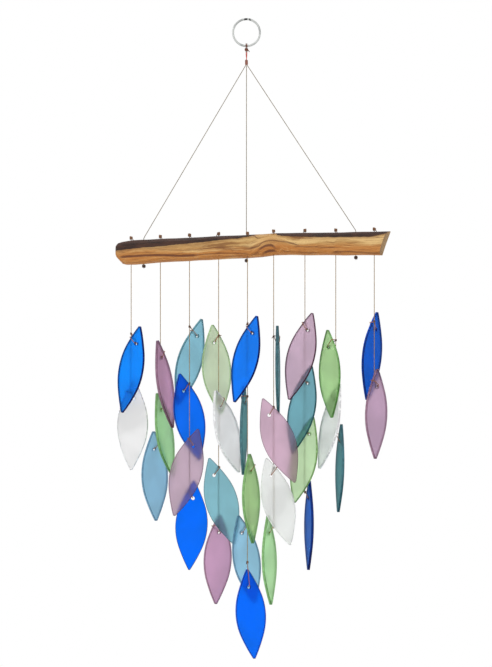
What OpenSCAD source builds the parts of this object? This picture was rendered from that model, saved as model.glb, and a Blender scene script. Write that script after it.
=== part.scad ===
// Glass wind chime: nine strings of drilled glass leaves under a driftwood beam, which three
// cords carry from a split ring. The origin is the middle of the ring's hole. X runs along the
// beam, Z is up, and the chime is seen from the side of -Y.

/* [Split ring] */
// Outside diameter of the ring
ring_d = 32; // [28:1:36]
// Radial width of the flattened wire
ring_wire_w = 2.2; // [1.8:0.1:2.6]
// Thickness of one turn of the wire
ring_turn_t = 1.4; // [1.2:0.1:1.6]
// Gap between the two turns
ring_turn_gap = 0.2; // [0.1:0.05:0.3]
// Gap beyond each end of the wire
ring_end_gap = 0.5; // [0.3:0.1:0.7]
// Length of ring over which the wire crosses from one turn to the other
ring_crossing_l = 6; // [4:0.5:8]

/* [Cord and knots] */
// Diameter of the cord, the same for lines, strings and ties
cord_d = 0.9; // [0.7:0.05:1]
// Diameter of a small knot in that cord
knot_d = 2.6; // [2.2:0.1:3]
// Height of a small knot
knot_h = 3; // [2.4:0.1:3.6]
// Clearance round a cord that runs through a knot
knot_fit = 0.08; // [0.05:0.01:0.12]
// Gap between pieces of cord that move against each other
cord_gap = 0.3; // [0.2:0.05:0.4]
// Gap between two strands or turns of cord side by side
strand_gap = 0.1; // [0.06:0.02:0.14]
// Length of a cut cord tail below a stop knot
tail_l = 3; // [2:0.5:5]

/* [Hanging cord] */
// Diameter of the hitch knot under the ring
hitch_d = 3.6; // [3.2:0.1:4]
// Height of the hitch knot
hitch_h = 3.6; // [3:0.1:5]
// Length of the doubled cord between the two knots
hanging_cord_l = 11; // [8:1:30]
// Diameter of the gathering knot
gathering_d = 4.2; // [3.8:0.1:5]
// Height of the gathering knot
gathering_h = 6.5; // [5:0.5:8]

/* [Driftwood beam] */
// Length of the beam
beam_l = 305; // [300:5:340]
// Height of the beam's section
beam_h = 26.5; // [24:0.5:30]
// Depth of the beam's section, front to back
beam_d = 27; // [25:0.5:32]
// Distance of the beam's left end from the plumb line
beam_left = 145; // [140:1:150]
// Distance from the ring's middle down to the beam's underside on the plumb line
beam_drop = 250.5; // [240:0.5:300]
// Diameter of the drilled holes
beam_hole_d = 2.2; // [1.8:0.1:2.6]
// Slant of the sawn right end, as a distance along the beam
end_slant = 8.8; // [6:0.2:10]
// How far the underside starts in from the left end
end_undercut = 7; // [4:0.5:9]
// How far the swirl of the old branch stands out of the front face
swirl_rise = 1.6; // [0.5:0.1:2.5]

/* [Glass leaf] */
// Length of a leaf from tip to tip
leaf_l = 100; // [90:1:102]
// Width of a leaf across its belly
leaf_w = 36; // [30:0.5:36.5]
// Thickness of the glass
leaf_t = 3; // [2.5:0.1:3.2]
// Bevel ground round the edges
leaf_bevel = 0.5; // [0.3:0.05:0.7]
// Width of the blunted tips
tip_w = 1.6; // [1.2:0.1:2.4]
// Diameter of the drilled hole
hole_d = 4; // [3.6:0.1:4.6]
// Distance of the hole from the upper tip
hole_from_tip = 20; // [18:0.5:22]

/* [Ties] */
// How far below a leaf's tip its knot sits on the string
knot_from_tip = 13; // [12:0.5:14]
// How far above the tip the knot of the lowest leaf sits, on its long loop
long_loop_rise = 7; // [5:0.5:9]
// Gap between a leaf's face and the side of a knot on its string
stand_off = 1.8; // [1.6:0.1:2]
// Gap between a tie and the glass
tie_gap = 0.15; // [0.1:0.05:0.2]
// Gap between a tie and the edge that it passes
edge_gap = 0.7; // [0.5:0.1:1]

/* [Hidden] */
// Where the strings hang, from the beam's left end as shares of beam_l, and how far in front of
// or behind its middle, as shares of beam_d. The strings of crossing leaves are staggered.
string_x_shares = [0.056, 0.162, 0.268, 0.374, 0.479, 0.574, 0.688, 0.8, 0.94];
string_y_shares = [0, 0.11, 0.075, 0.075, -0.26, -0.22, 0.075, 0, 0];
// Drops to each string's first knot, and then from knot to knot, as shares of leaf_l
drop_shares = [
    [0.755, 0.645],
    [0.955, 0.55, 0.48],
    [0.715, 0.63, 0.615, 0.59],
    [0.835, 0.7, 0.755, 0.655],
    [0.715, 0.805, 0.76, 0.67, 0.405],
    [0.885, 0.78, 0.675, 0.65],
    [0.735, 0.59, 0.54, 0.75],
    [0.93, 0.57, 0.475],
    [0.72, 0.655]];
// How each leaf hangs: the side its tip points to, the side of the string it lies on (1 is
// behind), its tilt, its lean away from the string and its turn about the string in degrees,
// and how far its middle hangs off the string, as a share of leaf_w
HANG = [
    [[1, -1, 16, 0, -42, -0.12], [1, 1, 2, 0, -18, 0]],
    [[-1, -1, 12, 5, 65, -0.12], [-1, -1, 22, 0, 64, 0.05], [-1, 1, 2, 0, 40, -0.12]],
    [[1, 1, 14, 8, 42, -0.25], [-1, 1, 14, 0, 27, 0.06], [1, -1, 16, 0, 15, 0.14],
        [1, 1, 3, 0, 0, -0.06]],
    [[-1, 1, 6, 0, 30, 0], [-1, -1, 23, 0, 48, 0.25], [-1, -1, 16, 0, 5, 0.08],
        [1, 1, 3, 0, 34, -0.05]],
    [[1, -1, 16, 4, -42, -0.11], [1, 1, 5, 0, 80, -0.06], [-1, -1, 4, 0, 60, 0],
        [-1, 1, 13, 0, 37, 0.06], [-1, -1, 5, 0, 25, 0.05]],
    [[-1, -1, 8, 0, 85, 0], [-1, -1, 21, 4, 0, 0.16], [-1, -1, 15, 4, 15, 0.09],
        [-1, 1, 5, 0, 66, -0.04]],
    [[1, -1, 14, 6, -34, 0], [1, -1, 11, 6, -38, -0.06], [1, -1, 16, 0, -42, -0.06],
        [1, 1, 3, 0, -78, 0]],
    [[-1, -1, 12, 6, -54, 0], [1, -1, 18, 5, -62, 0], [1, 1, 10, 0, -80, 0]],
    [[1, 1, 12, 0, 54, -0.06], [1, -1, 2, 0, 48, 0.06]]];
// The glass of each leaf
BLUE = "#0a6cf5";
LIGHT_BLUE = "#87b4cb";
TEAL = "#7fb3b9";
DARK_TEAL = "#3f767c";
MAUVE = "#bf9fbd";
GREEN = "#9bcf87";
PALE_GREEN = "#bcd9ad";
WHITE = "#e4e4e4";
GLASS = [
    [BLUE, WHITE],
    [MAUVE, GREEN, LIGHT_BLUE],
    [TEAL, BLUE, MAUVE, BLUE],
    [PALE_GREEN, WHITE, TEAL, MAUVE],
    [BLUE, DARK_TEAL, GREEN, LIGHT_BLUE, BLUE],
    [DARK_TEAL, MAUVE, WHITE, GREEN],
    [MAUVE, TEAL, PALE_GREEN, BLUE],
    [GREEN, WHITE, TEAL],
    [BLUE, MAUVE]];

// Where the three suspension lines pass the beam, as shares like the strings' ones
line_x_shares = [0.102, 0.475, 0.873];
line_y_shares = [0, 0.11, 0];
// Spread of the three lines' upper ends under the gathering knot, as shares of the knot's width
line_top_shares = [-0.3, 0, 0.3];

// The beam along its length: place as a share of beam_l, middle above the plumb line's
// underside and height as shares of beam_h, and depth as a share of beam_d
beam_shares = [
    [0, 0.21, 0.56, 0.6], [0.008, 0.21, 0.82, 0.84], [0.025, 0.21, 0.97, 0.95],
    [0.06, 0.26, 1.06, 0.98], [0.104, 0.29, 1.06, 1], [0.19, 0.35, 1.03, 1.02],
    [0.27, 0.39, 1.025, 1], [0.362, 0.445, 1.025, 1], [0.479, 0.505, 1.01, 0.98],
    [0.533, 0.54, 1, 1], [0.58, 0.6, 0.97, 1.04], [0.63, 0.605, 0.97, 1],
    [0.69, 0.61, 0.98, 0.97], [0.8, 0.615, 0.99, 0.96], [0.94, 0.63, 1.04, 0.97],
    [1, 0.635, 1.05, 0.94]];
// A cord's bends are this much fuller than the cord
bend_share = 1.06;
// Where a tie's two legs meet its knot: out from the axis as a share of the knot's radius, and
// above and below its middle as a share of its height
leg_out_share = 0.9;
leg_rise_share = 0.2;
// Corner taken off a knot's barrel, as a share of its radius
knot_corner_share = 0.3;
// How square the beam's section is: 1 is an ellipse, smaller is squarer
section_power = 0.76;
beam_rings = 44;
beam_points = 20;
// Where the branch swirl lies, as shares of beam_l and beam_h, and how far it spreads
swirl_x_share = 0.57;
swirl_z_share = -0.1;
swirl_spread_share = 0.035;
// How gently the undercut starts: 1 is a plain slant, more is rounder
undercut_power = 1.6;
// Share of the beam's length at which its rings start to lean to the sawn end's slant, and the
// share at which the left end's undercut is gone
slant_start_share = 0.85;
undercut_end_share = 0.12;

cord_r = cord_d / 2;
knot_r = knot_d / 2;
ring_r = ring_d / 2 - ring_wire_w / 2;
ring_t = 2 * ring_turn_t + ring_turn_gap;
overrun = 1;
fine = 180;
round_fine = 48;

strand_x = cord_r + strand_gap / 2;

// The hitch's turns clear the corners of the ring's wire
hitch_turn_r = norm([ring_wire_w, ring_t]) / 2 + cord_gap + cord_r;
hitch_top_z = -ring_r - hitch_turn_r + cord_r / 2;
hitch_bottom_z = hitch_top_z - hitch_h;
hanging_top_z = hitch_bottom_z - cord_gap - cord_d;
gathering_top_z = hanging_top_z - hanging_cord_l + gathering_h / 2;
gathering_bottom_z = gathering_top_z - gathering_h;
hanging_pin_l = 0.8 * gathering_h;

// The glass stands this far from the string's axis, measured to the middle of its thickness
stand_off_y = knot_r + stand_off + leaf_t / 2;
// Radius of the tie's bend through the hole, along the middle of the cord
tie_bend_r = leaf_t / 2 + tie_gap + cord_r;
// Distance from the bend's middle to the hole's middle, with the cord against the upper edge
tie_seat = hole_d / 2 + sqrt(pow(tie_bend_r - cord_r, 2) - pow(leaf_t / 2, 2)) - tie_gap;

// Arcs of the leaf's outline: a belly arc each side and a straighter arc to each tip. They meet
// at the shoulder, whose place is set as shares of leaf_l and leaf_w.
shoulder_l_share = 0.24;
shoulder_w_share = 0.75;
shoulder_l = shoulder_l_share * leaf_l;
shoulder_w = shoulder_w_share * leaf_w;
belly_drop = (leaf_w - shoulder_w) / 2;
belly_r = (pow(shoulder_l, 2) + pow(belly_drop, 2)) / (2 * belly_drop);
belly_end_angle = asin(shoulder_l / belly_r);
tip_chord = [leaf_l / 2 - shoulder_l, (shoulder_w - tip_w) / 2];
tip_chord_angle = atan2(tip_chord.y, tip_chord.x);
tip_r = norm(tip_chord) / (2 * sin(tip_chord_angle - belly_end_angle));
tip_centre = [shoulder_l - tip_r * sin(belly_end_angle),
    shoulder_w / 2 - tip_r * cos(belly_end_angle)];

strings = len(string_x_shares);

function leaf_name(s, n) = str("leaf_", s, "_", n);
function sum_to(list, n) = n <= 0 ? 0 : list[n - 1] + sum_to(list, n - 1);
function signed_power(v, p) = sign(v) * pow(abs(v), p);

// The beam's section at a share of its length, by interpolation of the table
function beam_column(share, column) = lookup(share, [for (b = beam_shares) [b[0], b[column]]]);
function beam_mid_z(share) = -beam_drop + beam_h * beam_column(share, 1);
function beam_half_h(share) = beam_h / 2 * beam_column(share, 2);
function beam_half_d(share) = beam_d / 2 * beam_column(share, 3);
function beam_x(share) = -beam_left + beam_l * share;
// Height of the section's outline above its middle, at a distance y from the beam's middle
function beam_surface(share, y) =
    beam_half_h(share) * pow(1 - pow(abs(y) / beam_half_d(share), 2 / section_power),
        section_power / 2);

function string_x(s) = beam_x(string_x_shares[s - 1]);
function string_y(s) = beam_d * string_y_shares[s - 1];
// A string swings about a point just below the mouth of its hole
function string_pivot_z(s) = beam_mid_z(string_x_shares[s - 1])
    - beam_half_h(string_x_shares[s - 1]) - cord_r - cord_gap;
function knot_z(s, n) = string_pivot_z(s) - leaf_l * sum_to(drop_shares[s - 1], n);

function leaf_hang(s, n) = HANG[s - 1][n - 1];
function hangs_long(s, n) = s == 5 && n == len(HANG[s - 1]);
function tip_to_knot(s, n) = hangs_long(s, n) ? -long_loop_rise : knot_from_tip;
// Half the leaf's width at a distance from its middle
function leaf_half_w(v) = abs(v) < shoulder_l
    ? sqrt(pow(belly_r, 2) - v * v) - belly_r + leaf_w / 2
    : tip_centre.y + sqrt(pow(tip_r, 2) - pow(abs(v) - tip_centre.x, 2));

// Cord through points, round at its ends and bends unless its last end runs into a knot
module cord(points, r = cord_r, into_knot = false) {
    last = len(points) - 2;
    for (i = [0 : last]) {
        run = points[i + 1] - points[i];
        translate(points[i])
            rotate([0, acos(run.z / norm(run)), atan2(run.y, run.x)]) {
                sphere(r = bend_share * r, $fn = round_fine / 2);
                cylinder(r = r, h = norm(run), $fn = round_fine / 2);
                if (i == last && !into_knot)
                    translate([0, 0, norm(run)])
                        sphere(r = bend_share * r, $fn = round_fine / 2);
            }
    }
}

// Knot pulled tight, as a barrel with its corners taken off
module knot(d, h) {
    corner = knot_corner_share * d / 2;
    rotate_extrude($fn = round_fine)
        polygon([[0, -h / 2], [d / 2 - corner, -h / 2], [d / 2, corner - h / 2],
            [d / 2, h / 2 - corner], [d / 2 - corner, h / 2], [0, h / 2]]);
}

// Bore that lets a cord run through a knot
module knot_bore(h) {
    cylinder(r = cord_r + knot_fit, h = h + 2 * overrun, center = true, $fn = round_fine);
}

// Two flat turns of wire, joined where the wire crosses over, with a gap beyond each end
module split_ring() {
    crossing_angle = ring_crossing_l / ring_r * 180 / PI;
    slot_angle = 360 - crossing_angle;
    color("silver")
        rotate([90, 0, 0])
            difference() {
                rotate_extrude($fn = fine)
                    translate([ring_d / 2 - ring_wire_w, -ring_t / 2])
                        square([ring_wire_w, ring_t]);
                rotate([0, 0, 90 + crossing_angle / 2])
                    rotate_extrude(angle = slot_angle, $fn = fine)
                        translate([ring_d / 2 - ring_wire_w - overrun, -ring_turn_gap / 2])
                            square([ring_wire_w + 2 * overrun, ring_turn_gap]);
                for (side = [-1, 1])
                    rotate([0, 0, 90 + side * crossing_angle / 2])
                        translate([ring_d / 2 - ring_wire_w - overrun, -ring_end_gap / 2,
                            side > 0 ? 0 : -ring_t / 2 - overrun])
                            cube([ring_wire_w + 2 * overrun, ring_end_gap,
                                ring_t / 2 + overrun]);
            }
}

// Two turns round the ring's wire, drawn into a knot under it
module ring_hitch() {
    color("sienna") {
        for (side = [-1, 1])
            translate([side * strand_x, 0, -ring_r])
                rotate([0, 90, 0])
                    rotate_extrude($fn = round_fine)
                        translate([hitch_turn_r, 0])
                            circle(r = cord_r, $fn = round_fine / 2);
        translate([0, 0, hitch_top_z - hitch_h / 2])
            knot(hitch_d, hitch_h);
        cord([[hitch_d / 4, 0, hitch_bottom_z + hitch_h / 3],
            [hitch_d / 2 + tail_l / 2, 0, hitch_bottom_z]]);
    }
}

// Doubled cord whose lower end turns in the gathering knot
module hanging_cord() {
    color("sienna") {
        for (side = [-1, 1])
            cord([[side * strand_x, 0, hanging_top_z],
                [side * strand_x, 0, gathering_top_z + cord_r]]);
        translate([0, 0, gathering_top_z - hanging_pin_l])
            cylinder(r = cord_d, h = hanging_pin_l + cord_d, $fn = round_fine);
    }
}

module gathering_knot() {
    bore_r = cord_d + knot_fit;
    color("saddlebrown")
        difference() {
            translate([0, 0, gathering_bottom_z + gathering_h / 2])
                knot(gathering_d, gathering_h);
            translate([0, 0, gathering_top_z - hanging_pin_l - cord_gap])
                cylinder(r = bore_r, h = hanging_pin_l + cord_gap + overrun, $fn = round_fine);
        }
}

// A line from the gathering knot to the beam, down through its hole and its stop knot
module suspension_line(i) {
    share = line_x_shares[i];
    x = beam_x(share);
    y = beam_d * line_y_shares[i];
    mouth_z = beam_mid_z(share) + beam_half_h(share) + cord_d;
    stop_z = line_stop_z(i);
    color("rosybrown")
        cord([[gathering_d * line_top_shares[i], 0, gathering_bottom_z - cord_r - tie_gap],
            [x, y, mouth_z], [x, y, stop_z - knot_h / 2 - tail_l]]);
}

function line_stop_z(i) = beam_mid_z(line_x_shares[i]) - beam_half_h(line_x_shares[i])
    - tie_gap - knot_h / 2;

module suspension_stop_knots() {
    color("saddlebrown")
        for (i = [0 : len(line_x_shares) - 1])
            translate([beam_x(line_x_shares[i]), beam_d * line_y_shares[i], line_stop_z(i)])
                difference() {
                    knot(knot_d, knot_h);
                    knot_bore(knot_h);
                }
}

// One ring of points round the beam's section at a share of its length
function beam_ring(share) =
    let (
        lean = end_slant / beam_h * max(0, share - slant_start_share) / (1 - slant_start_share),
        undercut = end_undercut * max(0, 1 - share / undercut_end_share),
        half_h = beam_half_h(share),
        half_d = beam_half_d(share))
    [for (i = [0 : beam_points - 1])
        let (
            a = 360 * i / beam_points,
            z = half_h * signed_power(sin(a), section_power),
            away = norm([(share - swirl_x_share) / swirl_spread_share,
                (z / beam_h - swirl_z_share) / (6 * swirl_spread_share)]),
            front = cos(a) < 0 ? 1 : 0,
            y = half_d * signed_power(cos(a), section_power)
                - front * swirl_rise * exp(-away * away))
        [beam_x(share) + lean * (z - half_h)
            + undercut * pow(max(0, -z / half_h), undercut_power), y,
            beam_mid_z(share) + z]];

// Rings are closer at the rounded left end, where the outline turns fastest
function ring_share(i) = i < 6 ? pow(i / 6, 2) * 0.04 : 0.04 + 0.96 * (i - 6) / (beam_rings - 7);

module driftwood_beam() {
    points = [for (i = [0 : beam_rings - 1]) each beam_ring(ring_share(i))];
    last = beam_rings - 1;
    left_cap = [for (j = [0 : beam_points - 1]) j];
    right_cap = [for (j = [beam_points - 1 : -1 : 0]) last * beam_points + j];
    sides = [for (i = [0 : last - 1]) for (j = [0 : beam_points - 1])
        let (
            k = (j + 1) % beam_points,
            a = i * beam_points + j,
            b = i * beam_points + k,
            c = a + beam_points,
            d = b + beam_points)
        each [[a, c, b], [b, c, d]]];
    color("peru")
        difference() {
            polyhedron(points, concat([left_cap, right_cap], sides));
            for (s = [1 : strings])
                beam_hole(string_x_shares[s - 1], string_y_shares[s - 1]);
            for (i = [0 : len(line_x_shares) - 1])
                beam_hole(line_x_shares[i], line_y_shares[i]);
        }
}

module beam_hole(x_share, y_share) {
    translate([beam_x(x_share), beam_d * y_share,
        beam_mid_z(x_share) - beam_half_h(x_share) - overrun])
        cylinder(d = beam_hole_d, h = 2 * (beam_half_h(x_share) + overrun), $fn = round_fine);
}

// Stop knots on the beam, each with its cord down through the hole
module string_top_knots() {
    color("saddlebrown")
        for (s = [1 : strings]) {
            share = string_x_shares[s - 1];
            seat_z = beam_mid_z(share) + beam_surface(share, string_y(s)) + tie_gap;
            foot_z = string_pivot_z(s) + cord_r + cord_gap;
            translate([string_x(s), string_y(s), seat_z]) {
                translate([0, 0, knot_h / 2])
                    knot(knot_d, knot_h);
                translate([0, 0, foot_z - seat_z])
                    cylinder(r = cord_r, h = seat_z - foot_z + knot_h / 2, $fn = round_fine);
            }
        }
}

// A string from its pivot under the beam to just past its lowest knot
module leaf_string(s) {
    last = len(HANG[s - 1]);
    color("rosybrown")
        cord([[string_x(s), string_y(s), string_pivot_z(s)],
            [string_x(s), string_y(s), knot_z(s, last) - knot_h / 2 - cord_d]]);
}

// Disc with ground edges, lying in the plane of the leaf
module bevelled_disc(r) {
    rotate([90, 0, 0])
        rotate_extrude($fn = 2 * fine)
            polygon([[0, -leaf_t / 2], [r - leaf_bevel, -leaf_t / 2], [r, leaf_bevel - leaf_t / 2],
                [r, leaf_t / 2 - leaf_bevel], [r - leaf_bevel, leaf_t / 2], [0, leaf_t / 2]]);
}

// The glass, upright with its middle at the origin
module glass() {
    difference() {
        intersection() {
            bevelled_disc(leaf_l / 2);
            translate([tip_centre.y, 0, tip_centre.x])
                bevelled_disc(tip_r);
            translate([-tip_centre.y, 0, tip_centre.x])
                bevelled_disc(tip_r);
            translate([tip_centre.y, 0, -tip_centre.x])
                bevelled_disc(tip_r);
            translate([-tip_centre.y, 0, -tip_centre.x])
                bevelled_disc(tip_r);
        }
        for (side = [-1, 1])
            difference() {
                translate([side * leaf_w / 2, 0, 0])
                    cube([leaf_w - shoulder_w + belly_drop, leaf_t + 2 * overrun, 2 * shoulder_l],
                        center = true);
                translate([side * (leaf_w / 2 - belly_r), 0, 0])
                    bevelled_disc(belly_r);
            }
        translate([0, 0, leaf_l / 2 - hole_from_tip])
            rotate([90, 0, 0])
                cylinder(d = hole_d, h = leaf_t + 2 * overrun, center = true, $fn = round_fine);
    }
}

// A leaf on its tie, with its knot on a string through the origin
module leaf(s, n) {
    hang = leaf_hang(s, n);
    tilt = hang[2];
    below_tip = tip_to_knot(s, n);
    // Along the leaf to its tip, and across it to the string's side
    along = [sin(tilt), 0, cos(tilt)];
    across = [-cos(tilt), 0, sin(tilt)];
    // The leaf's middle hangs under its string, but for the share given in HANG
    knot_across = ((leaf_l / 2 - below_tip) * sin(tilt) - leaf_w * hang[5]) / cos(tilt);
    middle = (below_tip - leaf_l / 2) * along - knot_across * across;
    hole = (below_tip - hole_from_tip) * along - knot_across * across;
    bend = hole * (1 - tie_seat / norm(hole));
    // The tie passes the glass beside its edge, or above its tip on a long loop
    past = edge_gap + cord_r;
    over_tip = below_tip < 0;
    edge = over_tip ? (below_tip + past) * along - knot_across * across
        : max(0, leaf_half_w(leaf_l / 2 - below_tip) + past - knot_across) * across;
    face = [0, stand_off_y, 0];
    near = [0, stand_off_y - tie_bend_r, 0];
    far = [0, stand_off_y + tie_bend_r, 0];
    translate([string_x(s), string_y(s), knot_z(s, n)])
        rotate([0, 0, hang[4]])
            mirror([hang[0] < 0 ? 1 : 0, 0, 0])
                mirror([0, hang[1] < 0 ? 1 : 0, 0]) {
                    color(GLASS[s - 1][n - 1])
                        rotate([hang[3], 0, 0])
                            translate(middle + face)
                                rotate([0, tilt, 0])
                                    glass();
                    color("sienna")
                        difference() {
                            union() {
                                knot(knot_d, knot_h);
                                rotate([hang[3], 0, 0]) {
                                    cord([bend + near, leg_end(bend + near, -leg_rise_share)],
                                        into_knot = true);
                                    tie_bend(bend + face, hole);
                                    cord(over_tip
                                        ? [bend + far, edge + far,
                                            leg_end(edge + far, leg_rise_share)]
                                        : [bend + far, edge + far, edge + near,
                                            leg_end(edge + near, leg_rise_share)],
                                        into_knot = true);
                                }
                            }
                            knot_bore(knot_h);
                        }
                }
}

// Where a tie's leg that comes from a point runs into the side of its knot
function leg_end(from, rise_share) =
    let (out = leg_out_share * knot_r / norm([from.x, from.y]))
    [from.x * out, from.y * out, rise_share * knot_h];

// The half turn of a tie through the hole, away from the knot
module tie_bend(at, hole) {
    translate(at)
        rotate([0, atan2(-hole.z, hole.x), 0])
            rotate([0, 0, -90])
                rotate_extrude(angle = 180, $fn = round_fine)
                    translate([tie_bend_r, 0])
                        circle(r = cord_r, $fn = round_fine / 2);
}

split_ring();
ring_hitch();
hanging_cord();
gathering_knot();
suspension_line(0);  // suspension_line_left
suspension_line(1);  // suspension_line_middle
suspension_line(2);  // suspension_line_right
suspension_stop_knots();
driftwood_beam();
string_top_knots();
for (s = [1 : strings])
    leaf_string(s);
for (s = [1 : strings])
    for (n = [1 : len(HANG[s - 1])])
        leaf(s, n);
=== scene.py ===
# Glass wind chime: frosted leaves on twisted strings under a driftwood beam.
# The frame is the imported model's: the ring's hole is the origin, the beam runs along X, Z is up
# and the camera looks along +Y. Pieces are drawn in millimetres, camera and room in metres.
import math
import random

import bmesh
import bpy
from mathutils import Matrix, Vector, noise


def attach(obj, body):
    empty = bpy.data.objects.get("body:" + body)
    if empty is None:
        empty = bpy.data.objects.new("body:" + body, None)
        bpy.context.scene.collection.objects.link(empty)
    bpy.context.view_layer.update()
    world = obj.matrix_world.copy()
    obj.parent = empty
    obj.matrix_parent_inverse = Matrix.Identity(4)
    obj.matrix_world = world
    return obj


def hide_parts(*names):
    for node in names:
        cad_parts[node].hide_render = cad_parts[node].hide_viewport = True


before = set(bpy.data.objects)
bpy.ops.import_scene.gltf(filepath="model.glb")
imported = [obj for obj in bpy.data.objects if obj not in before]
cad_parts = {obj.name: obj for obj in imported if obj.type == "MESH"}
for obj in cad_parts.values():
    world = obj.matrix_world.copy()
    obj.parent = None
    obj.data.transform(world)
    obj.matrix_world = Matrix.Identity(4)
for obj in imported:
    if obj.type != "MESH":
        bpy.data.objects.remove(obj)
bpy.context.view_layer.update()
mm = 0.001
scene = bpy.context.scene
print("frame loaded,", len(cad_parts), "nodes")


def newObject(name, data):
    obj = bpy.data.objects.new(name, data)
    scene.collection.objects.link(obj)
    return obj


# level with the chime and well back, as in the photograph
view = {
    "metresPerPixel": 1.109 * mm,  # at the strings
    "distance": 3.4,
    "width": 492,
    "height": 667,
    "ringPixel": (246.5, 32.6),
    "sensor": 36,
}


def makeCamera():
    data = bpy.data.cameras.new("camera")
    data.sensor_fit = "VERTICAL"
    data.sensor_height = view["sensor"]
    data.lens = view["sensor"] * view["distance"] / (view["height"] * view["metresPerPixel"])
    data.clip_end = 50
    obj = newObject("camera", data)
    x = (view["width"] / 2 - view["ringPixel"][0]) * view["metresPerPixel"]
    z = (view["ringPixel"][1] - view["height"] / 2) * view["metresPerPixel"]
    obj.location = (x, -view["distance"], z)
    obj.rotation_euler = (math.pi / 2, 0, 0)
    scene.camera = obj


makeCamera()
print("camera set")


# colours are written in sRGB, 0 to 255
def linear(colour):
    out = []
    for v in colour:
        v /= 255
        out.append(v / 12.92 if v <= 0.04045 else ((v + 0.055) / 1.055) ** 2.4)
    return (*out, 1)


def shade(colour, factor):
    return tuple(min(255, max(0, v * factor)) for v in colour)


# short ways to add and join the nodes of a material or of the world
class NodeMaker:
    def __init__(self, owner, output="ShaderNodeOutputMaterial"):
        self.owner = owner
        owner.use_nodes = True
        self.tree = owner.node_tree
        self.tree.nodes.clear()
        self.output = self.add(output)

    def add(self, kind, inputs=None, **settings):
        node = self.tree.nodes.new(kind)
        for key, value in settings.items():
            setattr(node, key, value)
        for key, value in (inputs or {}).items():
            self.put(node.inputs[key], value)
        return node

    def put(self, socket, value):
        if isinstance(value, bpy.types.NodeSocket):
            self.tree.links.new(value, socket)
        else:
            socket.default_value = value

    def objectCoords(self):
        return self.add("ShaderNodeTexCoord").outputs["Object"]

    def normal(self):
        return self.add("ShaderNodeNewGeometry").outputs["Normal"]

    def split(self, vector):
        return self.add("ShaderNodeSeparateXYZ", {"Vector": vector}).outputs

    def joined(self, x, y, z):
        return self.add("ShaderNodeCombineXYZ", {"X": x, "Y": y, "Z": z}).outputs[0]

    def scaled(self, coords, scale):
        return self.add("ShaderNodeMapping", {"Vector": coords, "Scale": scale}).outputs[0]

    def distance(self, vector, point):
        return self.add("ShaderNodeVectorMath", {0: vector, 1: point},
                        operation="DISTANCE").outputs["Value"]

    def noise(self, coords, scale, detail=3.0, distortion=0.0, rough=0.5):
        node = self.add("ShaderNodeTexNoise", {"Vector": coords, "Scale": scale, "Detail": detail,
                                               "Distortion": distortion, "Roughness": rough})
        return node.outputs["Fac"]

    def math(self, operation, a, b=0.0):
        node = self.add("ShaderNodeMath", operation=operation)
        self.put(node.inputs[0], a)
        self.put(node.inputs[1], b)
        return node.outputs[0]

    def plus(self, a, b):
        return self.math("ADD", a, b)

    def minus(self, a, b):
        return self.math("SUBTRACT", a, b)

    def times(self, a, b):
        return self.math("MULTIPLY", a, b)

    # a noise of 0 to 1 turned into a wander of the given width about nought
    def wander(self, value, width):
        return self.times(self.minus(value, 0.5), width)

    def ramp(self, value, low, high, toLow=0.0, toHigh=1.0, smooth=True):
        node = self.add("ShaderNodeMapRange", {"Value": value, "From Min": low, "From Max": high,
                                               "To Min": toLow, "To Max": toHigh},
                        interpolation_type="SMOOTHSTEP" if smooth else "LINEAR")
        return node.outputs[0]

    # a and b are other nodes' colours, or colours in sRGB
    def mix(self, factor, a, b):
        node = self.add("ShaderNodeMix", data_type="RGBA")
        self.put(node.inputs[0], factor)
        self.put(node.inputs[6], linear(a) if isinstance(a, tuple) else a)
        self.put(node.inputs[7], linear(b) if isinstance(b, tuple) else b)
        return node.outputs[2]

    def bump(self, height, strength, distance):
        return self.add("ShaderNodeBump", {"Height": height, "Strength": strength,
                                           "Distance": distance}).outputs[0]

    def finish(self, shader):
        self.tree.links.new(shader.outputs[0], self.output.inputs[0])
        return self.owner

    def principled(self, inputs):
        return self.finish(self.add("ShaderNodeBsdfPrincipled", inputs))


def newMaterial(name):
    return NodeMaker(bpy.data.materials.new(name))


def place(obj, body, stands):
    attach(obj, body)
    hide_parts(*stands)


# one piece from points in millimetres; stands names the solids that it takes the place of
def addPiece(name, vertices, faces, material, body, stands):
    data = bpy.data.meshes.new(name)
    data.from_pydata([Vector(v) * mm for v in vertices], [], faces)
    data.validate()
    data.materials.append(material)
    for face in data.polygons:
        face.use_smooth = True
    obj = newObject(name, data)
    place(obj, body, stands)
    return obj


# the same path with points about a step apart
def resampled(points, step):
    out = []
    for a, b in zip(points, points[1:]):
        count = max(1, round((b - a).length / step))
        out += [a.lerp(b, i / count) for i in range(count)]
    out.append(points[-1])
    return out


# corners cut, ends kept
def smoothed(points, rounds=2):
    for _ in range(rounds):
        new = [points[0]]
        for a, b in zip(points, points[1:]):
            new += [a.lerp(b, 0.25), a.lerp(b, 0.75)]
        new.append(points[-1])
        points = new
    return points


# two sideways axes at each point, carried along without twisting
def sidewaysAxes(points):
    out = []
    side = None
    last = len(points) - 1
    for i in range(len(points)):
        direction = (points[min(i + 1, last)] - points[max(i - 1, 0)]).normalized()
        if side is None:
            side = direction.orthogonal().normalized()
        side = (side - direction * side.dot(direction)).normalized()
        out.append((side, direction.cross(side)))
    return out


# adds the faces of a tube with closed ends, whose rings of points begin at start
def tubeFaces(start, steps, sides, faces):
    for i in range(steps):
        for k in range(sides):
            a = start + i * sides + k
            b = start + i * sides + (k + 1) % sides
            faces.append((a, b, b + sides, a + sides))
    faces.append(tuple(start + k for k in reversed(range(sides))))
    faces.append(tuple(start + steps * sides + k for k in range(sides)))


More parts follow.
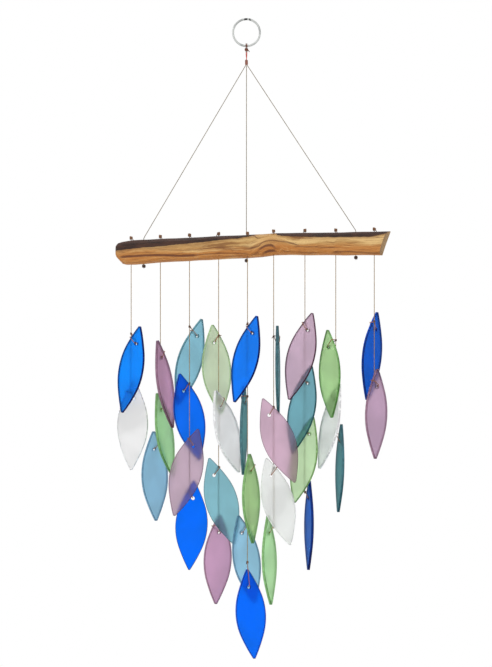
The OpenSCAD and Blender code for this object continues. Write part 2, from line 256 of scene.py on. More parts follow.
# adds a round tube along the points to the lists
def tube(points, radius, sides, vertices, faces, taper=0.6):
    start = len(vertices)
    last = len(points) - 1
    for i, (p, (u, v)) in enumerate(zip(points, sidewaysAxes(points))):
        r = radius * taper if i in (0, last) else radius
        for k in range(sides):
            a = 2 * math.pi * k / sides
            vertices.append(p + u * (r * math.cos(a)) + v * (r * math.sin(a)))
    tubeFaces(start, last, sides, faces)


# the nine strings from left to right. Along and across the beam are shares of its length and
# depth; drops are to the first knot and then from knot to knot, as shares of a leaf's length
strings = {
    "along": [0.056, 0.162, 0.268, 0.374, 0.479, 0.574, 0.688, 0.8, 0.94],
    "across": [0, 0.11, 0.075, 0.075, -0.26, -0.22, 0.075, 0, 0],
    "drops": [[0.755, 0.645], [0.955, 0.55, 0.48], [0.715, 0.63, 0.615, 0.59],
              [0.835, 0.7, 0.755, 0.655], [0.715, 0.805, 0.76, 0.67, 0.405],
              [0.885, 0.78, 0.675, 0.65], [0.735, 0.59, 0.54, 0.75], [0.93, 0.57, 0.475],
              [0.72, 0.655]],
    "cordRadius": 0.45,
    "gap": 0.3,  # from the wood to where the string swings
    "end": 0.9,  # below the last knot
    "twist": 3.2,  # length of one turn of the plies
    "plies": 3,
    "plyRadius": 0.51,  # as a share of the cord's
    "stepsPerTurn": 9,
}

# the three lines that carry the beam
lines = {
    "names": ["left", "middle", "right"],
    "along": [0.102, 0.475, 0.873],
    "across": [0, 0.11, 0],
    "topSpread": [-1.26, 0, 1.26],
    "inKnot": 1.5,
    "underKnot": 0.6,
    "overWood": 0.9,  # where a line turns straight down
    "bend": 0.6,
    "throughStop": 1.5,
    "tail": 1,
}

# the driftwood, with its rings as shares of its length, height and depth
beam = {
    "length": 305,
    "height": 26.5,
    "depth": 27,
    "left": -145,
    "underside": -250.5,
    "sectionPower": 0.76,  # 1 is an ellipse, less is squarer
    "slant": 8.8,
    "slantStart": 0.85,
    "sawnBack": 6,  # how far back the front corner of the sawn end lies
    "undercut": 5.4,
    "undercutEnd": 0.12,
    "undercutPower": 2.2,
    "holeDiameter": 2.2,
    # place along the beam, middle, height and depth of the section
    "rings": [(0, 0.215, 0.64, 0.6), (0.008, 0.215, 0.89, 0.84), (0.025, 0.225, 1.0, 0.95),
              (0.06, 0.26, 1.06, 0.98), (0.104, 0.29, 1.06, 1), (0.19, 0.35, 1.03, 1.02),
              (0.27, 0.39, 1.025, 1), (0.362, 0.445, 1.025, 1), (0.479, 0.505, 1.01, 0.98),
              (0.533, 0.54, 1, 1), (0.58, 0.6, 0.97, 1.04), (0.63, 0.605, 0.97, 1),
              (0.69, 0.61, 0.98, 0.97), (0.8, 0.615, 0.99, 0.96), (0.94, 0.63, 1.04, 0.97),
              (1, 0.635, 1.05, 0.94)],
    "swirl": (0.57, -0.1),  # along the beam, above the section's middle
    "swirlRise": 1.6,
    "swirlSpread": 0.035,
    "headShares": [0, 0.0012, 0.003, 0.0055, 0.009, 0.014, 0.02],  # close rings on the round end
    "ringCount": 190,
    "around": 56,
    "capScales": [0.82, 0.55, 0.25],
    "capDip": 0.25,
    # how far the skin is worn inwards: everywhere, and by grooves, dents and finer marks
    "worn": 0.55,
    "grooves": 0.5,
    "dents": 0.35,
    "fineWear": 0.16,
    "swirlHollow": 1.5,
    "wearRadius": 13,  # the radius that the wear is taken off
    "drillLength": 40,
    "drillSides": 20,
}


# a column of the beam's rings at a share of its length
def sectionValue(share, column):
    for a, b in zip(beam["rings"], beam["rings"][1:]):
        if a[0] <= share <= b[0]:
            return a[column] + (b[column] - a[column]) * (share - a[0]) / (b[0] - a[0])
    return beam["rings"][-1][column]


def beamX(share):
    return beam["left"] + beam["length"] * share


def midZ(share):
    return beam["underside"] + beam["height"] * sectionValue(share, 1)


def halfHeight(share):
    return beam["height"] / 2 * sectionValue(share, 2)


def halfDepth(share):
    return beam["depth"] / 2 * sectionValue(share, 3)


def surfaceAbove(share, y):
    power = beam["sectionPower"]
    return halfHeight(share) * (1 - (abs(y) / halfDepth(share)) ** (2 / power)) ** (power / 2)


def signedPower(v, p):
    return math.copysign(abs(v) ** p, v)


wood = {
    "pale": (204, 166, 104), "tan": (172, 126, 66), "lower": (182, 110, 34),
    "light": (224, 186, 124), "streak": (108, 60, 16), "creaseShade": (92, 42, 6),
    "bark": (66, 39, 27), "barkDark": (40, 23, 16), "barkGrey": (88, 70, 60),
    "sawn": (158, 124, 76), "sawnRing": (118, 86, 48),
    # how the grain is drawn out: few changes along the beam, many across it
    "longGrain": (9, 90, 130), "fineGrain": (22, 330, 430), "broadGrain": (8, 40, 62),
    "flakes": (22, 90, 110), "ragged": (0.5, 1, 1.4),
    "yearRings": 4200,
    # lower edge of the bark along the beam: (share of the length, height)
    "barkEdge": [(0.0, -242.0), (0.12, -238.5), (0.265, -234.2), (0.33, -232.2), (0.365, -231.0),
                 (0.40, -230.0), (0.45, -228.4), (0.50, -225.2), (0.53, -220.0), (0.575, -220.0),
                 (0.588, -224.6), (0.68, -226.8), (0.81, -227.4), (0.92, -226.8), (0.97, -224.0),
                 (1.0, -220.0)],
    # checks and creases of the grain, their dark tone painted shade inside them: depth of tone,
    # width, and the line's places
    "marks": [
        (1.0, 1.9, [(0.01, -249.6), (0.06, -248.4), (0.16, -247.2), (0.24, -247.8), (0.3, -247)]),
        (0.65, 1.1, [(0.27, -247.6), (0.35, -245.6), (0.43, -245), (0.49, -246.2)]),
        (0.45, 0.9, [(0.15, -241), (0.24, -241.6), (0.34, -239.8), (0.42, -237.4), (0.5, -237)]),
        (0.75, 1.3, [(0.477, -239.4), (0.495, -239.2), (0.518, -237.2), (0.532, -233.4),
                     (0.548, -231.6), (0.57, -231), (0.595, -231.6), (0.635, -233.6),
                     (0.67, -237)]),
        (0.6, 0.9, [(0.64, -237.4), (0.7, -238), (0.76, -238.4), (0.82, -238.6)]),
        (1.0, 2.3, [(0.513, -241.8), (0.532, -238.8), (0.545, -236.8), (0.56, -236),
                    (0.573, -237.4), (0.586, -241)]),
        (1.0, 2.2, [(0.53, -245.6), (0.546, -243.6), (0.56, -242.4), (0.575, -242.2),
                    (0.588, -244)]),
        (0.8, 1.1, [(0.488, -224.2), (0.502, -225.6), (0.518, -228.4), (0.534, -227.4)]),
        (0.6, 1.5, [(0.78, -244), (0.84, -243.2), (0.89, -244), (0.94, -244.8), (0.97, -244.6)]),
    ],
    "markFade": 0.018,  # a mark's ends fade over this share of the length
}


# a float curve through (share, height) points, given back in metres
def curveOf(m, value, points, low, high):
    node = m.add("ShaderNodeFloatCurve", {"Value": value})
    curve = node.mapping.curves[0]
    while len(curve.points) < len(points):
        curve.points.new(0.5, 0.5)
    for point, (x, y) in zip(curve.points, points):
        point.location = (x, (y - low) / (high - low))
        point.handle_type = "AUTO_CLAMPED"
    node.mapping.update()
    return m.ramp(node.outputs[0], 0, 1, low * mm, high * mm, smooth=False)


# the wood under the bark: long bands and fine streaks that bow up round the swirl
def bareWood(m, x, y, height, bent, warp):
    middle = (beamX(beam["swirl"][0] - 0.008) * mm, -13 * mm, -2.2 * mm)
    near = m.ramp(m.distance(bent, middle), 0.005, 0.026, 1, 0)
    bow = m.plus(m.wander(warp, 5 * mm), m.times(near, -7 * mm))
    grain = m.joined(x, y, m.plus(height, bow))
    long = m.noise(m.scaled(grain, wood["longGrain"]), 1.7, 5, 0.4, 0.62)
    fine = m.noise(m.scaled(grain, wood["fineGrain"]), 2.2, 4, 0.3, 0.65)
    broad = m.noise(m.scaled(grain, wood["broadGrain"]), 1.3, 3, 0.3)
    tint = m.mix(m.ramp(long, 0.4, 0.6), wood["tan"], wood["pale"])
    low = m.ramp(m.plus(height, m.wander(broad, 16 * mm)), -6 * mm, 3 * mm, 1, 0)
    tint = m.mix(m.times(low, 0.85), tint, wood["lower"])
    tint = m.mix(m.ramp(broad, 0.52, 0.64, 0, 0.75), tint, wood["light"])
    tint = m.mix(m.ramp(long, 0.46, 0.35, 0, 0.6), tint, wood["streak"])
    tint = m.mix(m.ramp(fine, 0.52, 0.66, 0, 0.62), tint, wood["streak"])
    tint = m.mix(m.ramp(fine, 0.46, 0.34, 0, 0.4), tint, wood["light"])
    tint = m.mix(m.times(near, 0.35), tint, wood["lower"])
    return tint, long, fine


# the named checks and creases on the front, ragged at their edges, as the mask of their painted
# shade and their groove
def drawnMarks(m, share, y, z, ragged):
    fade = wood["markFade"]
    drawn = 0.0
    for depth, width, points in wood["marks"]:
        first, last = points[0][0], points[-1][0]
        inner = [((s - first) / (last - first), v) for s, v in points]
        line = curveOf(m, m.ramp(share, first, last, smooth=False), inner, -260, -210)
        off = m.math("ABSOLUTE", m.minus(z, line))
        off = m.plus(off, m.wander(ragged, 1.3 * mm))
        mark = m.ramp(off, 0.2 * width * mm, width * mm, depth, 0)
        mark = m.times(mark, m.ramp(share, first - 0.2 * fade, first + fade))
        mark = m.times(mark, m.ramp(share, last - fade, last + 0.2 * fade, 1, 0))
        drawn = m.math("MAXIMUM", drawn, mark)
    return m.times(drawn, m.ramp(y, -2 * mm, 3 * mm, 1, 0))


# how far a point lies above the bark's lower edge
def aboveBarkEdge(m, share, y, z, ragged, warp):
    over = m.minus(z, curveOf(m, share, wood["barkEdge"], -250, -210))
    over = m.plus(over, m.wander(ragged, 1.6 * mm))
    over = m.plus(over, m.wander(warp, 1.6 * mm))
    return m.plus(over, m.ramp(y, 0.0, 13 * mm, 0, 3 * mm))


# year rings of the branch on the sawn end
def sawnEnd(m, coords, y, height):
    core = m.distance(m.joined(0.0, y, height), (0, 2 * mm, 1.5 * mm))
    wobble = m.times(m.noise(coords, 130, 2), 2 * mm)
    rings = m.math("SINE", m.times(m.plus(core, wobble), wood["yearRings"]))
    tint = m.mix(m.ramp(rings, -0.2, 0.9, 0, 0.6), wood["sawn"], wood["sawnRing"])
    return m.mix(m.ramp(core, 0.0112, 0.0128, 0, 0.35), tint, wood["streak"])


def driftwood():
    m = newMaterial("driftwood")
    coords = m.objectCoords()
    x, y, z = m.split(coords)
    share = m.ramp(x, beam["left"] * mm, (beam["left"] + beam["length"]) * mm, smooth=False)
    # height above the beam's own leaning middle, so the grain follows its bend
    middle = curveOf(m, share, [(s, beam["underside"] + beam["height"] * c)
                                for s, c, _, _ in beam["rings"][3:]], -250, -230)
    height = m.minus(z, middle)
    bent = m.joined(x, y, height)
    warp = m.noise(bent, 45, 3, 0.6)
    ragged = m.noise(m.scaled(coords, wood["ragged"]), 300, 4, 0.2)
    tint, long, fine = bareWood(m, x, y, height, bent, warp)
    drawn = drawnMarks(m, share, y, z, ragged)
    # painted shade inside the checks and creases
    tint = m.mix(m.times(drawn, 0.9), tint, wood["creaseShade"])
    # bark left on the upper side, with a darker rim of wood under it
    over = aboveBarkEdge(m, share, y, z, ragged, warp)
    bark = m.ramp(over, -0.3 * mm, 0.5 * mm)
    flakes = m.noise(m.scaled(bent, wood["flakes"]), 2.4, 4, 0.5, 0.6)
    barkTint = m.mix(m.ramp(flakes, 0.36, 0.6), wood["barkDark"], wood["bark"])
    barkTint = m.mix(m.ramp(flakes, 0.6, 0.76, 0, 0.55), barkTint, wood["barkGrey"])
    tint = m.mix(m.ramp(over, -3 * mm, 0.0, 0, 0.45), tint, wood["streak"])
    tint = m.mix(bark, tint, barkTint)
    facing = m.split(m.normal())[0]
    endFace = m.times(m.ramp(facing, 0.5, 0.7), m.ramp(share, 0.93, 0.95))
    tint = m.mix(endFace, tint, sawnEnd(m, coords, y, height))
    relief = m.plus(m.times(fine, 0.6), m.times(long, 0.8))
    relief = m.minus(relief, m.times(drawn, 0.7))
    relief = m.plus(relief, m.times(m.times(bark, flakes), 1.6))
    return m.principled({
        "Base Color": tint, "Roughness": m.ramp(bark, 0, 1, 0.62, 0.85, smooth=False),
        "Normal": m.bump(relief, 0.6, 0.8 * mm)})


# a point of the beam's skin, worn a little inwards from the solid
def beamPoint(share, angle):
    halfH, halfD = halfHeight(share), halfDepth(share)
    z = halfH * signedPower(math.sin(angle), beam["sectionPower"])
    away = math.hypot((share - beam["swirl"][0]) / beam["swirlSpread"],
                      (z / beam["height"] - beam["swirl"][1]) / (6 * beam["swirlSpread"]))
    front = 1 if math.cos(angle) < 0 else 0
    y = (halfD * signedPower(math.cos(angle), beam["sectionPower"])
         - front * beam["swirlRise"] * math.exp(-away * away))
    lean = (beam["slant"] / beam["height"] * max(0, share - beam["slantStart"])
            / (1 - beam["slantStart"]))
    undercut = beam["undercut"] * max(0, 1 - share / beam["undercutEnd"])
    x = (beamX(share) + lean * (z - halfH)
         + undercut * max(0, -z / halfH) ** beam["undercutPower"])
    # long shallow grooves, dents, and finer wear
    groove = noise.noise(Vector((x * 0.012, math.cos(angle) * 2.6, math.sin(angle) * 2.6)))
    dent = noise.noise(Vector((x * 0.05, y * 0.09, z * 0.09 + 7)))
    fine = noise.noise(Vector((x * 0.05, math.cos(angle) * 9, math.sin(angle) * 9 + 3)))
    worn = (beam["worn"] + beam["grooves"] * groove + beam["dents"] * dent
            + beam["fineWear"] * fine)
    # the swirl is a little hollow in its middle
    worn += front * beam["swirlHollow"] * math.exp(-(away * 2.6) ** 2)
    shrink = 1 - max(0, worn) / beam["wearRadius"]
    return Vector((x, y * shrink, midZ(share) + z * shrink))


def beamSkin():
    head, ringCount, around = beam["headShares"], beam["ringCount"], beam["around"]
    rest = 1 - head[-1]
    shares = head + [head[-1] + rest * i / (ringCount - 1) for i in range(1, ringCount)]
    vertices, faces = [], []
    for share in shares:
        for k in range(around):
            vertices.append(beamPoint(share, 2 * math.pi * k / around))
    for i in range(len(shares) - 1):
        for k in range(around):
            a, b = i * around + k, i * around + (k + 1) % around
            faces.append((a, a + around, b + around, b))
    # each end is closed by shrinking rings round its middle, so the faces stay even
    for first, last in ((0, False), ((len(shares) - 1) * around, True)):
        ring = list(range(first, first + around))
        centre = sum((vertices[i] for i in ring), Vector()) / around
        for scale in beam["capScales"]:
            dip = beam["capDip"] * (1 - scale)
            inner = []
            for k in range(around):
                inner.append(len(vertices))
                vertices.append(centre.lerp(vertices[first + k], scale)
                                + Vector((-dip if last else dip, 0, 0)))
            for k in range(around):
                j = (k + 1) % around
                quad = (ring[k], ring[j], inner[j], inner[k])
                faces.append(tuple(reversed(quad)) if last else quad)
            ring = inner
        faces.append(tuple(reversed(ring)) if last else tuple(ring))
    data = bpy.data.meshes.new("driftwood")
    data.from_pydata([v * mm for v in vertices], [], faces)
    data.validate()
    return data


# the front half of the sawn end looks a little to the front
def sawFrontCorner(data):
    bm = bmesh.new()
    bm.from_mesh(data)
    bmesh.ops.recalc_face_normals(bm, faces=bm.faces)
    corner = Vector((beam["left"] + beam["length"], 1, midZ(1) + halfHeight(1))) * mm
    flat = Vector((beam["sawnBack"], beam["depth"] / 2, 0))
    outwards = flat.cross(Vector((beam["slant"], 0, beam["height"])))
    cut = bmesh.ops.bisect_plane(bm, geom=bm.verts[:] + bm.edges[:] + bm.faces[:],
                                 plane_co=corner, plane_no=outwards, clear_outer=True)
    edges = [e for e in cut["geom_cut"] if isinstance(e, bmesh.types.BMEdge)]
    bmesh.ops.triangle_fill(bm, use_beauty=True, edges=edges)
    bmesh.ops.recalc_face_normals(bm, faces=bm.faces)
    bm.to_mesh(data)
    bm.free()


# a hole for each string and line, straight down through the beam
def drilled(obj):
    cutter = bmesh.new()
    spots = [*zip(strings["along"], strings["across"]), *zip(lines["along"], lines["across"])]
    radius, depth = beam["holeDiameter"] / 2 * mm, beam["drillLength"] * mm
    for share, across in spots:
        middle = Vector((beamX(share), beam["depth"] * across, midZ(share))) * mm
        bmesh.ops.create_cone(cutter, cap_ends=True, segments=beam["drillSides"], depth=depth,
                              radius1=radius, radius2=radius, matrix=Matrix.Translation(middle))
    drill = bpy.data.meshes.new("drill")
    cutter.to_mesh(drill)
    cutter.free()
    drillObject = newObject("drill", drill)
    cut = obj.modifiers.new("cut", "BOOLEAN")
    cut.object = drillObject
    cut.solver = "EXACT"
    bpy.context.view_layer.update()
    done = bpy.data.meshes.new_from_object(obj.evaluated_get(
        bpy.context.evaluated_depsgraph_get()))
    obj.modifiers.clear()
    bpy.data.objects.remove(drillObject)
    return done


def makeBeam():
    data = beamSkin()
    sawFrontCorner(data)
    data.materials.append(driftwood())
    obj = newObject("driftwood", data)
    obj.data = drilled(obj)
    for face in obj.data.polygons:
        face.use_smooth = True
    obj.data.set_sharp_from_angle(angle=math.radians(50))
    place(obj, "beam", ("driftwood_beam",))


# every cord is the same twisted thread, in its own tone
thread = {
    "string": (158, 129, 82), "line": (142, 130, 108), "tie": (156, 106, 74),
    "knot": (92, 60, 42), "topKnot": (134, 92, 62), "stopKnot": (66, 44, 34),
    "red": (196, 54, 24), "hitch": (112, 60, 38), "gathering": (146, 92, 76),
}


def threadMaterial(name, colour, fuzz=0.35):
    m = newMaterial(name)
    coords = m.objectCoords()
    fibre = m.noise(m.scaled(coords, (1, 1, 0.35)), 2600, 3)
    patch = m.noise(coords, 160, 2)
    tint = m.mix(m.ramp(fibre, 0.3, 0.7), shade(colour, 0.66), shade(colour, 1.15))
    tint = m.mix(m.ramp(patch, 0.45, 0.75, 0, fuzz), tint, shade(colour, 1.35))
    return m.principled({
        "Base Color": tint, "Roughness": 0.72, "Sheen Weight": 0.25, "Sheen Roughness": 0.4,
        "Normal": m.bump(fibre, 0.5, 0.12 * mm)})


# plies laid round each other along the path
def layPlies(points, radius, vertices, faces, start=0.0):
    pitch, plies = strings["twist"], strings["plies"]
    path = resampled(points, pitch / strings["stepsPerTurn"])
    axes = sidewaysAxes(path)
    for ply in range(plies):
        run, travelled = [], 0.0
        for i, p in enumerate(path):
            if i:
                travelled += (p - path[i - 1]).length
            a = start + 2 * math.pi * (travelled / pitch + ply / plies)
            u, v = axes[i]
            run.append(p + (u * math.cos(a) + v * math.sin(a)) * radius * (1 - strings["plyRadius"]))
        tube(run, radius * strings["plyRadius"], 6, vertices, faces)


def twistedCord(name, points, material, body, stands, start):
    vertices, faces = [], []
    layPlies(points, strings["cordRadius"], vertices, faces, start)
    addPiece(name, vertices, faces, material, body, stands)


knotShape = {
    "turnSpacing": 1.75,  # in cord radii
    "pointsPerTurn": 14,
    "barrel": 0.16,  # how much narrower its ends are
    "coreHeights": [-0.42, -0.2, 0.2, 0.42],
    # the end that comes back over the turns: its steps, and how far round, out and down it goes
    "endSteps": [0.35, 0.7, 1.0],
    "endTurn": 1.6,
    "endOut": 0.12,
    "endDown": 0.75,
    "tailTurn": 1.9,
}
topKnot = {"diameter": 3.9, "height": 4.2, "tail": 1.6, "offWood": 0.15}
stopKnot = {"diameter": 4.2, "height": 4.0, "offWood": 0.15}


# turns of cord drawn tight round a core, with one turn riding over and a short tail
def wrappedKnot(centre, diameter, height, vertices, faces, seed, cord=strings["cordRadius"],
                tail=0.0):
    phase = random.Random(seed).uniform(0, 2 * math.pi)
    r = diameter / 2 - cord
    inner = height - 2 * cord
    turns = inner / (knotShape["turnSpacing"] * cord)
    count = max(20, round(turns * knotShape["pointsPerTurn"]))
    path = []
    for i in range(count + 1):
        t = i / count
        a = phase + 2 * math.pi * turns * t
        swell = r * (1 - knotShape["barrel"] * (2 * t - 1) ** 2)
        path.append(Vector((swell * math.cos(a), swell * math.sin(a), (t - 0.5) * inner)))
    # the end comes back across the turns and sticks out under them
    a = phase + 2 * math.pi * turns
    for t in knotShape["endSteps"]:
        b = a + knotShape["endTurn"] * t
        out = r * (1 + knotShape["endOut"] * math.sin(math.pi * t))
        down = (0.5 - knotShape["endDown"] * t) * inner
        path.append(Vector((out * math.cos(b), out * math.sin(b), down)))
    if tail:
        b = a + knotShape["tailTurn"]
        for out, down in ((0.4, 0.35 * height + 0.1 * tail), (0.62, 0.45 * height + 0.45 * tail)):
            reach = r + out * tail
            path.append(Vector((reach * math.cos(b), reach * math.sin(b), -down)))
    tube([centre + p for p in smoothed(path, 1)], cord * 0.98, 7, vertices, faces)
    core = [centre + Vector((0, 0, share * height)) for share in knotShape["coreHeights"]]
    tube(core, r * 0.75, 8, vertices, faces)


# the red cord under the ring, by height from the ring's middle
upper = {
    "hitchPivot": -14.9,
    "hitchTurn": 2.61,
    "hitchTop": -17.285,
    "hitchBottom": -20.885,
    "hangingTop": -22.085,
    "gatheringTop": -29.835,
    "gatheringBottom": -36.335,
    "hitchKnot": (4.2, 3.9),  # diameter and height
    "gatheringKnot": (3.6, 6.3),
    "gatheringCord": 0.5,
    "turnsApart": 0.52,  # each turn round the ring, off the middle
    "hitchTail": [(0.9, 0, 0.4), (1.9, -0.3, -0.6), (2.7, -0.5, -1.3), (3.2, -0.5, -2.4)],
    "legsApart": 0.5,
    "legInKnot": 1,
    "legTaper": 0.35,
    "strandsApart": 0.47,
    "strandsAbove": 0.3,  # past the hinge, up to the legs
    "strandsInKnot": 4.8,
    "straightTop": 0.6,
    "crossing": (0.9, 12),  # half turns of the strands round each other, and over what length
    "loopSteps": 40,
    "strandSteps": 60,
}


def makeHitch():
    r = strings["cordRadius"]
    vertices, faces = [], []
    # two turns round the ring, then a knot with a cut tail
    for side in (-1, 1):
        loop = []
        for i in range(upper["loopSteps"] + 1):
            a = 2 * math.pi * i / upper["loopSteps"]
            loop.append(Vector((side * upper["turnsApart"], upper["hitchTurn"] * math.sin(a),
                                upper["hitchPivot"] + upper["hitchTurn"] * math.cos(a))))
        tube(loop, r, 8, vertices, faces, taper=1)
    mid = (upper["hitchTop"] + upper["hitchBottom"]) / 2
    wrappedKnot(Vector((0, 0, mid)), *upper["hitchKnot"], vertices, faces, 5)
    tail = [Vector((x, y, mid + z)) for x, y, z in upper["hitchTail"]]
    tube(smoothed(tail), r, 8, vertices, faces)
    # the legs run down to the hinge
    for side in (-1, 1):
        heights = (mid - upper["legInKnot"], upper["hangingTop"] + upper["legTaper"],
                   upper["hangingTop"])
        leg = [Vector((side * upper["legsApart"], 0, z)) for z in heights]
        tube(leg, r, 8, vertices, faces)
    addPiece("hitch", vertices, faces, hitchThread, "hitch", ("ring_hitch",))


# the doubled cord: two twisted strands that lie round each other
def makeHangingCord():
    vertices, faces = [], []
    top = upper["hangingTop"] + upper["strandsAbove"]
    bottom = upper["gatheringTop"] - upper["strandsInKnot"]
    steps, (halfTurns, over) = upper["strandSteps"], upper["crossing"]
    for side in (0, 1):
        path = []
        for i in range(steps):
            z = top + (bottom - top) * i / (steps - 1)
            turned = halfTurns * math.pi * max(0, top - z - upper["straightTop"]) / over
            a = math.pi * side + turned
            path.append(Vector((upper["strandsApart"] * math.cos(a),
                                upper["strandsApart"] * math.sin(a), z)))
        layPlies(path, strings["cordRadius"], vertices, faces, side)
    addPiece("hangingCord", vertices, faces, redThread, "cord", ("hanging_cord",))


def makeGatheringKnot():
    vertices, faces = [], []
    mid = (upper["gatheringTop"] + upper["gatheringBottom"]) / 2
    wrappedKnot(Vector((0, 0, mid)), *upper["gatheringKnot"], vertices, faces, 9,
                cord=upper["gatheringCord"])
    addPiece("gatheringKnot", vertices, faces, gatherThread, "beam", ("gathering_knot",))


# three lines from the gathering knot down through the beam to their stop knots
def makeLines():
    stopVertices, stopFaces = [], []
    for i, name in enumerate(lines["names"]):
        share, spread = lines["along"][i], lines["topSpread"][i]
        x, y = beamX(share), beam["depth"] * lines["across"][i]
        topZ = midZ(share) + halfHeight(share) + lines["overWood"]
        stopZ = midZ(share) - halfHeight(share) - stopKnot["offWood"] - stopKnot["height"] / 2
        start = Vector((spread, 0, upper["gatheringBottom"] - lines["underKnot"]))
        inside = Vector((spread / 2, 0, upper["gatheringBottom"] + lines["inKnot"]))
        mouth = Vector((x, y, topZ))
        path = [inside, start, start.lerp(mouth, 0.994), Vector((x, y, topZ - lines["bend"])),
                Vector((x, y, stopZ - lines["throughStop"] - lines["tail"]))]
        twistedCord("line_" + name, path, lineThread, "beam",
                    ("suspension_line_" + name,), i)
        wrappedKnot(Vector((x, y, stopZ)), stopKnot["diameter"], stopKnot["height"], stopVertices,
                    stopFaces, 20 + i)
    addPiece("stopKnots", stopVertices, stopFaces, stopThread, "beam",
             ("suspension_stop_knots",))


# where a string starts to swing, under its hole
def stringPlace(s):
    share = strings["along"][s]
    y = beam["depth"] * strings["across"][s]
    z = midZ(share) - halfHeight(share) - strings["cordRadius"] - strings["gap"]
    return Vector((beamX(share), y, z))


def knotPlace(s, n):
    at = stringPlace(s)
    at.z -= leafShape["length"] * sum(strings["drops"][s][: n + 1])
    return at


# top knots on the beam with the cord through each hole, then the strings under it
def makeStrings():
    vertices, faces = [], []
    for s, share in enumerate(strings["along"]):
        at = stringPlace(s)
        seat = midZ(share) + surfaceAbove(share, at.y) + topKnot["offWood"]
        wrappedKnot(Vector((at.x, at.y, seat + topKnot["height"] / 2 - 0.2)),
                    topKnot["diameter"], topKnot["height"], vertices, faces, 40 + s,
                    tail=topKnot["tail"])
        tube([Vector((at.x, at.y, z)) for z in (seat + 1, seat - 1, at.z + 1, at.z)],
             strings["cordRadius"] * 0.96, 8, vertices, faces)
    addPiece("topKnots", vertices, faces, topThread, "beam", ("string_top_knots",))
    for s in range(len(hang)):
        top = stringPlace(s)
        bottom = knotPlace(s, len(hang[s]) - 1).z - ties["knotHeight"] / 2 - strings["end"]
        name = "strand_%d" % (s + 1)
        twistedCord(name, [top, Vector((top.x, top.y, bottom))], stringThread, name,
                    ("string_%d" % (s + 1),), 0.7 * s)


splitRing = {
    "radius": 14.9,
    "wire": 2.2,
    "turn": 1.4,
    "gap": 0.2,
    "chamfer": 0.28,
    "crossing": 23.0,  # degrees that the wire takes to cross over
    "endGap": 1.9,
    "endScale": 0.93,
    "steps": 260,
    "steel": (184, 186, 184),
    "wornSteel": (150, 152, 151),
    # painted shadow at the top of the ring, where the wire crosses over and its cut ends lie: left,
    # right, depth of tone
    "crossingShadows": [(-2.6, 1.2, 0.95), (2.4, 4.6, 0.8)],
    "crossingShadowTone": (38, 38, 38),
}


def ringSteel():
    m = newMaterial("ringSteel")
    coords = m.objectCoords()
    scratch = m.noise(m.scaled(coords, (1, 6, 1)), 900, 3)
    worn = m.noise(coords, 120, 3)
    tint = m.mix(m.ramp(worn, 0.4, 0.7), splitRing["steel"], splitRing["wornSteel"])
    x, _, z = m.split(coords)
    soft = 0.4
    # painted shadow in two bands at the top, where the wire crosses over
    for left, right, depth in splitRing["crossingShadows"]:
        band = m.times(m.ramp(x, (left - soft) * mm, (left + soft) * mm),
                       m.ramp(x, (right - soft) * mm, (right + soft) * mm, 1, 0))
        band = m.times(band, m.ramp(z, 8 * mm, 10 * mm, 0, depth))
        tint = m.mix(band, tint, splitRing["crossingShadowTone"])
    return m.principled({
        "Base Color": tint, "Metallic": 1.0, "Roughness": m.ramp(scratch, 0.3, 0.7, 0.42, 0.56),
        "Normal": m.bump(scratch, 0.15, 0.05 * mm)})


# two turns of flattened wire, which crosses from the front turn to the back at the top
def makeRing():
    half = splitRing["crossing"] / 2
    front = -(splitRing["turn"] + splitRing["gap"]) / 2
    begin, end = 90 + half + splitRing["endGap"], 90 - half + 720 - splitRing["endGap"]
    crossStart, crossEnd = 360 + 90 - half, 360 + 90 + half
    w, t, c = splitRing["wire"] / 2, splitRing["turn"] / 2, splitRing["chamfer"]
    # each corner of the flat wire is rounded with three points
    corner = [(0, c), (c * 0.3, c * 0.3), (c, 0)]
    section = []
    for across, along, order in ((-1, -1, 1), (1, -1, -1), (1, 1, 1), (-1, 1, -1)):
        section += [(across * (w - a), along * (t - b)) for a, b in corner[::order]]
    vertices, faces = [], []
    count = splitRing["steps"]
    for i in range(count + 1):
        angle = begin + (end - begin) * i / count
        cross = min(1, max(0, (angle - crossStart) / (crossEnd - crossStart)))
        y0 = front * (1 - 2 * cross * cross * (3 - 2 * cross))
        scale = splitRing["endScale"] if i in (0, count) else 1
        a = math.radians(angle)
        for radial, y in section:
            r = splitRing["radius"] + radial * scale
            vertices.append(Vector((r * math.cos(a), y0 + y * scale, r * math.sin(a))))
    tubeFaces(0, count, len(section), faces)
    obj = addPiece("splitRing", vertices, faces, ringSteel(), "ring",
                   ("split_ring",))
    obj.data.set_sharp_from_angle(angle=math.radians(60))


leafShape = {
    "length": 100,
    "width": 36,
    "thickness": 3,
    "bevel": 0.5,
    "tipWidth": 1.6,
    "tipInset": 0.25,
    "shoulderWidth": 27,
    "shoulder": 24,
    "hole": 4,
    "holeFromTip": 20,
    "holeChamfer": 0.25,
    "outlineSteps": 60,
    "holeSteps": 28,
    "wanderAcross": 0.008,  # how far the hand-cut outline wanders inwards, as shares
    "wanderAlong": 0.002,
}
ties = {
    "belowTip": 13,
    "longLoop": 7,  # the lowest leaf's knot sits above its tip
    "standOff": 1.8,
    "gap": 0.15,
    "edgeGap": 0.7,
    "knotDiameter": 2.6,
    "knotHeight": 3,
    "knotTail": 1.8,
    "legOut": 0.9,
    "legRise": 0.2,
    "legInKnot": 0.6,
    "cornerCut": 0.9,
    "turnSteps": 12,
}
